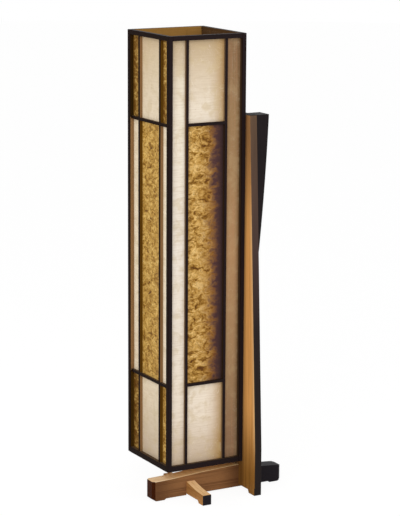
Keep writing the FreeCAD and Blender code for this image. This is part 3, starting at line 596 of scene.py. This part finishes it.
def amberFinish(side):
    finish = newFinish(side + "AmberPaper")
    place = finish.place()
    along, z = across(finish, place, side)
    onLeft = side in ("left", "right")
    size, depth = (amber["leftSize"], amber["leftDepth"]) if onLeft else (1.0, 1.0)
    drift = finish.noise(place, *amber["drift"], out=1)      # output 1 is a vector, not one number
    reach = amber["driftReach"]
    wander = finish.node("ShaderNodeVectorMath", {"operation": "MULTIPLY_ADD"},
                         {0: drift, 1: (reach, reach, reach), 2: place})
    wander = finish.stretch(wander, size, size, size)
    mottle = finish.noise(finish.stretch(wander, *amber["mottleStretch"]), *amber["mottle"])
    coarse = finish.noise(finish.stretch(wander, *amber["coarseStretch"]), *amber["coarse"])
    veins = finish.noise(finish.stretch(wander, *amber["veinStretch"]), *amber["veins"])
    vein = 1 - finish.between(abs(veins - amber["veinMiddle"]), *amber["veinRange"])
    curls = finish.noise(finish.stretch(wander, *amber["curlStretch"]), *amber["curls"])
    line = 1 - finish.between(abs(curls - 0.5), *amber["curlRange"])
    line = line * finish.between(coarse, *amber["curlFields"])
    tone = (mottle * amber["mottleShare"] + coarse * (1 - amber["mottleShare"])).sway(depth) + 0.5
    colour = finish.ramp(tone, amber["folds"])
    colour = finish.mix(vein * amber["veinShare"] * depth, colour, amber["crease"])
    colour = finish.mix(line * amber["curlShare"] * depth, colour, amber["crease"])
    colour = finish.mix(1.0, colour, amber["leftTint" if onLeft else "frontTint"], "MULTIPLY")
    if side == "front":
        colour = frontAmber(finish, along, coarse, mottle, colour)
    if side == "left":
        colour = leftAmber(finish, along, z, coarse, mottle, colour)
    height = mottle * amber["bumpMottle"] + coarse * amber["bumpCoarse"]
    height = height - line * amber["bumpLine"] - vein * amber["bumpVein"]
    return finish.finish({
        "Base Color": insideMixed(finish, place, colour, tone),
        "Roughness": amber["rough"] + mottle.sway(amber["roughSway"]),
        "Specular IOR Level": amber["shine"],
        "Normal": finish.bump(height, amber["bump"], amber["bumpDepth"])})


for side in sides:
    dress([side + "_cream_paper"], creamFinish(side))
    dress([side + "_amber_paper"], amberFinish(side))
print("paper dressed")


# Wood: straight-grained, with its growth rings round a pith outside the board. A pair of colours
# is the pale wood and the darker late wood.
wood = {
    "rings": 420, "ringRange": (0.25, 0.92), "ringWarp": (26.0, 3.0, 0.55, 0.3), "ringSway": 0.012,
    "pores": (900, 4.0, 0.6), "streaks": (130.0, 3.0, 0.6), "clouds": (8.0, 2.0),
    "grainDraw": 0.05, "streakDraw": 0.4,
    "ringShare": 0.45,
    "streakRange": (0.44, 0.66), "streakShare": 0.6,
    "poreRange": (0.52, 0.72), "poreShare": 0.3,
    "cloudRange": (0.45, 0.75), "cloudShare": 0.25,
    "black": ((23, 20, 24), (40, 36, 40)),
    "rough": 0.55, "blackSmoother": 0.1, "roughSway": 0.2, "shine": 0.04,
    "bump": 0.4, "bumpDepth": 0.0003, "bumpPores": 0.6, "bumpRings": 0.4,
}


def grainFields(finish, place, run, pith):
    # rings, pores, streaks and slow clouds for a board whose grain runs along one axis
    soft = finish.stretch(place, *drawnOut(run, wood["grainDraw"]))
    warp = finish.noise(soft, *wood["ringWarp"])
    x, y, z = finish.split(place)
    first, second = {"x": (y, z), "y": (x, z), "z": (x, y)}[run]
    first = first - pith[0]
    second = second - pith[1]
    radius = (first * first + second * second) ** 0.5 + warp.sway(wood["ringSway"])
    softer = finish.stretch(soft, *drawnOut(run, wood["streakDraw"]))
    return {"rings": finish.between((radius * wood["rings"]).fraction(), *wood["ringRange"]),
            "pores": finish.noise(soft, *wood["pores"]),
            "streaks": finish.noise(softer, *wood["streaks"]),
            "clouds": finish.noise(soft, *wood["clouds"])}


def grained(finish, grain, tones):
    pale, late = tones
    colour = finish.mix(grain["rings"] * wood["ringShare"], pale, late)
    for field, kind in (("streaks", "streak"), ("pores", "pore"), ("clouds", "cloud")):
        amount = finish.between(grain[field], *wood[kind + "Range"]) * wood[kind + "Share"]
        colour = finish.mix(amount, colour, late)
    return colour


def woodFinish(name, run, pith, tones):
    # the tones call gives the wood's colour and how much of each spot is lacquered black
    finish = newFinish(name)
    place = finish.place()
    grain = grainFields(finish, place, run, pith)
    colour, lacquered = tones(finish, grain, finish.split(place), finish.split(finish.facing()))
    black = finish.mix(grain["pores"], *wood["black"])
    rough = wood["rough"] - lacquered * wood["blackSmoother"]
    height = grain["pores"] * wood["bumpPores"] + grain["rings"] * wood["bumpRings"]
    return finish.finish({
        "Base Color": finish.mix(lacquered, colour, black),
        "Roughness": rough + grain["pores"].sway(wood["roughSway"]),
        "Specular IOR Level": wood["shine"],
        "Normal": finish.bump(height, wood["bump"], wood["bumpDepth"])})


# Beam: painted light makes its upper face paler than the flanks, with a warmer tone below the
# lantern; the left end shows dark end grain and the right end is lacquered.
beam = {
    "pith": (0.02, -0.05),
    "top": ((255, 226, 184), (238, 190, 138)), "warmTop": ((255, 224, 170), (252, 206, 144)),
    "warmRange": (-0.16, -0.10),
    "flank": ((160, 113, 71), (98, 62, 38)), "upRange": (0.3, 0.8),
    "dim": (76, 45, 26), "dimLeft": 0.72, "dimLeftRange": (-0.195, -0.10),
    "dimRight": 0.7, "dimRightRange": (0.0, 0.075),
    "end": ((68, 28, 4), (36, 12, 0)), "endRange": (0.4, 0.62), "endPlace": -0.18, "endTurned": 0.3,
    "black": 0.0842,
}


def beamTones(finish, grain, spot, normal):
    x, upward = spot[0], normal[2]
    # painted light: the upper face is paler than the flanks, and warmer below the lantern
    top, warmTop, flank = [grained(finish, grain, beam[name]) for name in ("top", "warmTop", "flank")]
    top = finish.mix(finish.between(x, *beam["warmRange"]), top, warmTop)
    facesUp = finish.between(upward, *beam["upRange"])
    colour = finish.mix(facesUp, flank, top)
    dim = (1 - finish.between(x, *beam["dimLeftRange"])) * beam["dimLeft"]
    dim = dim + finish.between(x, *beam["dimRightRange"]) * beam["dimRight"]
    colour = finish.mix(dim * (1 - facesUp), colour, beam["dim"])
    end = finish.mix(finish.between(grain["pores"], *beam["endRange"]), *beam["end"])
    atEnd = (normal[0] < -beam["endTurned"]) * (x < beam["endPlace"])
    return finish.mix(atEnd, colour, end), x > beam["black"]


# Cross arm: painted light makes its upper face paler than the flanks; lacquered on its front end.
arm = {
    "pith": (-0.16, -0.05),
    "top": ((246, 206, 152), (212, 160, 102)), "flank": ((190, 136, 78), (144, 98, 52)),
    "upRange": (0.74, 0.9), "black": -0.14,
}


def armTones(finish, grain, spot, normal):
    top, flank = [grained(finish, grain, arm[name]) for name in ("top", "flank")]
    # painted light on the upper face
    colour = finish.mix(finish.between(normal[2], *arm["upRange"]), flank, top)
    return colour, (spot[1] < arm["black"]) * (normal[1] < -turned)


# Post board: its wide face has painted shade at both ends and beside the lantern, and a painted
# highlight along the front edge, which is lacquered and carries a painted sheen that grows towards
# the top. The edge's stops are heights.
post = {
    "pith": (0.16, -0.01),
    "face": ((238, 176, 102), (190, 130, 68)),
    "high": ((168, 122, 76), (112, 78, 46)), "highRange": (0.66, 0.98),
    "low": ((156, 108, 48), (106, 71, 26)), "lowRange": (0.03, 0.26),
    "edge": [(0.20, (36, 31, 30)), (0.44, (42, 35, 34)), (0.66, (82, 63, 58)), (0.84, (98, 76, 63)),
             (1.0, (108, 84, 65))],
    "edgeStreak": (40, 33, 31), "edgeStreakShare": 0.5,
    "bevelTurned": 0.3, "bevelShare": 0.8, "bevelFoot": 0.02,
    "frontLine": -0.1472, "frontLean": 0.0489,      # the front edge at the floor and its lean
    "edgeHighlight": (238, 200, 146), "marginWidth": (0.003, 0.011), "marginShare": 0.45,
    "marginFoot": (0.06, 0.2), "marginHead": (0.66, 0.86),
    "shade": (84, 54, 28), "shadeRange": (-0.090, -0.079), "shadeShare": 0.5,
    "crown": (14, 11, 11), "crownFoot": 0.9,
}


def postTones(finish, grain, spot, normal):
    y, z = spot[1:]
    face, high, low = [grained(finish, grain, post[name]) for name in ("face", "high", "low")]
    # painted shade on the wide face at both ends
    face = finish.mix(finish.between(z, *post["highRange"]), face, high)
    face = finish.mix(1 - finish.between(z, *post["lowRange"]), face, low)
    # painted sheen on the lacquered front edge, lighter towards the top
    edge = finish.ramp(z, post["edge"])
    edge = finish.mix(grain["streaks"] * post["edgeStreakShare"], edge, post["edgeStreak"])
    # painted highlight along the front edge of the wide face
    inwards = y - (post["frontLine"] + z * post["frontLean"])
    edgeHighlight = (1 - finish.between(inwards, *post["marginWidth"])) * finish.between(z, *post["marginFoot"])
    edgeHighlight = edgeHighlight * (1 - finish.between(z, *post["marginHead"]))
    face = finish.mix(edgeHighlight * post["marginShare"], face, post["edgeHighlight"])
    # painted shadow beside the lantern's front corner
    face = finish.mix(finish.between(y, *post["shadeRange"]) * post["shadeShare"], face, post["shade"])
    colour = finish.mix(normal[1] < -turned, face, edge)
    bevel = (normal[0] < -post["bevelTurned"]) * (normal[1] < -post["bevelTurned"])
    colour = finish.mix(bevel * (z > post["bevelFoot"]) * post["bevelShare"], colour, face)
    return finish.mix((normal[2] > turned) * (z > post["crownFoot"]), colour, post["crown"]), 0


dress(["long_beam"], woodFinish("beamWood", "x", beam["pith"], beamTones))
dress(["cross_arm"], woodFinish("armWood", "y", arm["pith"], armTones))
dress(["post_board"], woodFinish("postWood", "z", post["pith"], postTones))


# Wing beside the post: black all over, with a little grain in the lacquer.
wing = {
    "tones": ((24, 20, 21), (40, 34, 35)), "crown": (12, 10, 10),
    "grain": (260.0, 5.0, 0.6, 0.3), "grainDraw": 0.04, "grainShare": 0.6, "clouds": (12.0, 2.0),
    "rough": 0.45, "roughSway": 0.2, "shine": 0.03, "bump": 0.3, "bumpDepth": 0.0002,
}


def wingFinish():
    finish = newFinish("blackWing")
    place = finish.place()
    grain = finish.noise(finish.stretch(place, *drawnOut("z", wing["grainDraw"])), *wing["grain"])
    clouds = finish.noise(place, *wing["clouds"])
    colour = finish.mix(grain * wing["grainShare"] + clouds * (1 - wing["grainShare"]), *wing["tones"])
    upward = finish.split(finish.facing())[2]
    return finish.finish({
        "Base Color": finish.mix(upward > turned, colour, wing["crown"]),
        "Roughness": wing["rough"] + grain.sway(wing["roughSway"]),
        "Specular IOR Level": wing["shine"],
        "Normal": finish.bump(grain, wing["bump"], wing["bumpDepth"])})


# Bottom board: plain plywood.
ply = {"pith": (0.0, -0.4), "tones": ((206, 170, 122), (166, 124, 78)), "rough": 0.7, "shine": 0.25,
       "bump": 0.4, "bumpDepth": 0.0003}


def plyFinish():
    finish = newFinish("boardPly")
    grain = grainFields(finish, finish.place(), "x", ply["pith"])
    return finish.finish({
        "Base Color": grained(finish, grain, ply["tones"]), "Roughness": ply["rough"],
        "Specular IOR Level": ply["shine"],
        "Normal": finish.bump(grain["pores"], ply["bump"], ply["bumpDepth"])})


dress(["post_wing"], wingFinish())
dress(["bottom_board"], plyFinish())
print("wood dressed")


# Metal inside the lantern: brushed upwards, with a few stains.
metals = {
    "platedSteel": {"tone": (186, 187, 184), "worn": (150, 150, 146), "rough": 0.26,
                    "pieces": ["lamp_pole", "pole_flange", "lower_bracket"]},
    "screwSteel": {"tone": (168, 166, 158), "worn": (118, 115, 106), "rough": 0.34,
                   "pieces": ["flange_screws", "lantern_screws", "wing_screws"]},
    "nickelBrass": {"tone": (206, 194, 158), "worn": (158, 140, 98), "rough": 0.28,
                    "pieces": ["upper_holder_shell", "lower_holder_shell",
                               "upper_bulb_cap", "lower_bulb_cap"]},
    "brassContact": {"tone": (205, 168, 92), "worn": (150, 112, 54), "rough": 0.3,
                     "pieces": ["upper_holder_contact", "lower_holder_contact"]},
    "solderTip": {"tone": (172, 170, 166), "worn": (120, 118, 114), "rough": 0.45,
                  "pieces": ["upper_bulb_tip", "lower_bulb_tip"]},
}
brushing = {
    "lines": (900.0, 4.0, 0.6), "lineDraw": 0.05, "roughSway": 0.2, "bump": 0.25, "bumpDepth": 0.00005,
    "stains": (140.0, 4.0, 0.65), "stainRange": (0.52, 0.70), "stainShare": 0.7, "stainRough": 0.12,
}


def metalFinish(name, look):
    finish = newFinish(name)
    place = finish.place()
    lines = finish.noise(finish.stretch(place, *drawnOut("z", brushing["lineDraw"])), *brushing["lines"])
    stain = finish.between(finish.noise(place, *brushing["stains"]), *brushing["stainRange"])
    rough = look["rough"] + lines.sway(brushing["roughSway"]) + stain * brushing["stainRough"]
    return finish.finish({
        "Base Color": finish.mix(stain * brushing["stainShare"], look["tone"], look["worn"]),
        "Metallic": 1.0, "Roughness": rough,
        "Normal": finish.bump(lines, brushing["bump"], brushing["bumpDepth"])})


# Porcelain, rubber, plastic and glass: smooth, with a faint fine texture and slow clouds.
smooths = {
    "whitePorcelain": {"tone": (236, 233, 224), "worn": (222, 216, 203), "rough": 0.22, "scale": 420.0,
                       "depth": 0.00008, "coat": 0.5, "pieces": ["upper_holder_cup", "lower_holder_cup"]},
    "blackRubber": {"tone": (34, 33, 33), "worn": (52, 50, 49), "rough": 0.72, "scale": 1100.0,
                    "depth": 0.0001, "coat": 0.0, "pieces": ["cord_bush"]},
    "creamPlastic": {"tone": (232, 224, 198), "worn": (216, 205, 176), "rough": 0.42, "scale": 700.0,
                     "depth": 0.00006, "coat": 0.0, "pieces": ["terminal_block"]},
    "opalGlass": {"tone": (246, 243, 234), "worn": (238, 232, 218), "rough": 0.2, "scale": 300.0,
                  "depth": 0.00003, "coat": 0.6, "pieces": []},      # for the bulbs' glass, made below
}
texture = {"fineDetail": (4.0, 0.6), "roughSway": 0.12, "bump": 0.3, "coatRough": 0.12,
           "broader": 12, "broadDetail": 2.0, "wornRange": (0.45, 0.75), "wornShare": 0.6}


def smoothFinish(name, look):
    finish = newFinish(name)
    place = finish.place()
    fine = finish.noise(place, look["scale"], *texture["fineDetail"])
    broad = finish.noise(place, look["scale"] / texture["broader"], texture["broadDetail"])
    worn = finish.between(broad, *texture["wornRange"]) * texture["wornShare"]
    return finish.finish({
        "Base Color": finish.mix(worn, look["tone"], look["worn"]),
        "Roughness": look["rough"] + fine.sway(texture["roughSway"]),
        "Coat Weight": look["coat"], "Coat Roughness": texture["coatRough"],
        "Normal": finish.bump(fine, texture["bump"], look["depth"])})


for name, look in metals.items():
    dress(look["pieces"], metalFinish(name, look))
for name, look in smooths.items():
    dress(look["pieces"], smoothFinish(name, look))
print("fittings dressed")


# The bulbs' glass: a thin blown shell with a neck, a round shoulder and a domed end.
bulbGlass = {"neck": 0.0125, "neckRise": 0.014, "shoulder": 0.012, "dome": 0.015, "wall": 0.001,
             "tip": 0.0002,      # the line closes to one point when it is this near the axis
             "curveSteps": 9, "turnSteps": 48}


def glassLine(radius, height, inset):
    # radius and height of the shell's line from its mouth to its end, moved inwards by the inset
    neck, rise, shoulder, dome = (bulbGlass[name] for name in ("neck", "neckRise", "shoulder", "dome"))
    line = [(neck - inset, 0.0), (neck - inset, rise)]
    for step in range(1, bulbGlass["curveSteps"] + 1):
        share = step / bulbGlass["curveSteps"]
        ease = share * share * (3 - 2 * share)
        line.append((neck + (radius - neck) * ease - inset, rise + shoulder * share))
    for step in range(bulbGlass["curveSteps"] + 1):
        turn = math.radians(90 * step / bulbGlass["curveSteps"])
        line.append(((radius - inset) * math.cos(turn), height - dome + (dome - inset) * math.sin(turn)))
    return line


def turnedShell(name, line):
    # a closed line of (radius, height) turned round the upright axis
    mesh = bmesh.new()
    rings = []
    for reach, rise in line:
        if reach < bulbGlass["tip"]:
            rings.append([mesh.verts.new((0, 0, rise))])
            continue
        ring = []
        for step in range(bulbGlass["turnSteps"]):
            turn = math.tau * step / bulbGlass["turnSteps"]
            ring.append(mesh.verts.new((reach * math.cos(turn), reach * math.sin(turn), rise)))
        rings.append(ring)
    for near, far in zip(rings, rings[1:] + rings[:1]):
        if len(near) == len(far) == 1:
            continue
        for step in range(bulbGlass["turnSteps"]):
            after = (step + 1) % bulbGlass["turnSteps"]
            corners = [near[step % len(near)], near[after % len(near)],
                       far[after % len(far)], far[step % len(far)]]
            mesh.faces.new(list(dict.fromkeys(corners)))
    bmesh.ops.recalc_face_normals(mesh, faces=mesh.faces)
    for face in mesh.faces:
        face.smooth = True
    data = bpy.data.meshes.new(name)
    mesh.to_mesh(data)
    mesh.free()
    return data


def addBulbGlass(which):
    # the shell fills the box of the plain tube that it takes the place of
    old = nodes[which + "_bulb_glass"]
    corners = [old.matrix_world @ Vector(corner) for corner in old.bound_box]
    low = [min(corner[axis] for corner in corners) for axis in range(3)]
    high = [max(corner[axis] for corner in corners) for axis in range(3)]
    radius, height = (high[0] - low[0]) / 2, high[2] - low[2]
    line = glassLine(radius, height, 0.0) + glassLine(radius, height, bulbGlass["wall"])[::-1]
    data = turnedShell(which + "_bulb_shell", line)
    data.materials.append(bpy.data.materials["opalGlass"])
    piece = bpy.data.objects.new(which + "_bulb_shell", data)
    bpy.context.scene.collection.objects.link(piece)
    piece.location = ((low[0] + high[0]) / 2, (low[1] + high[1]) / 2, low[2])
    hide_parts(which + "_bulb_glass")
    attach(piece, which + "_bulb")


for which in ("upper", "lower"):
    addBulbGlass(which)
print("bulb glass blown")
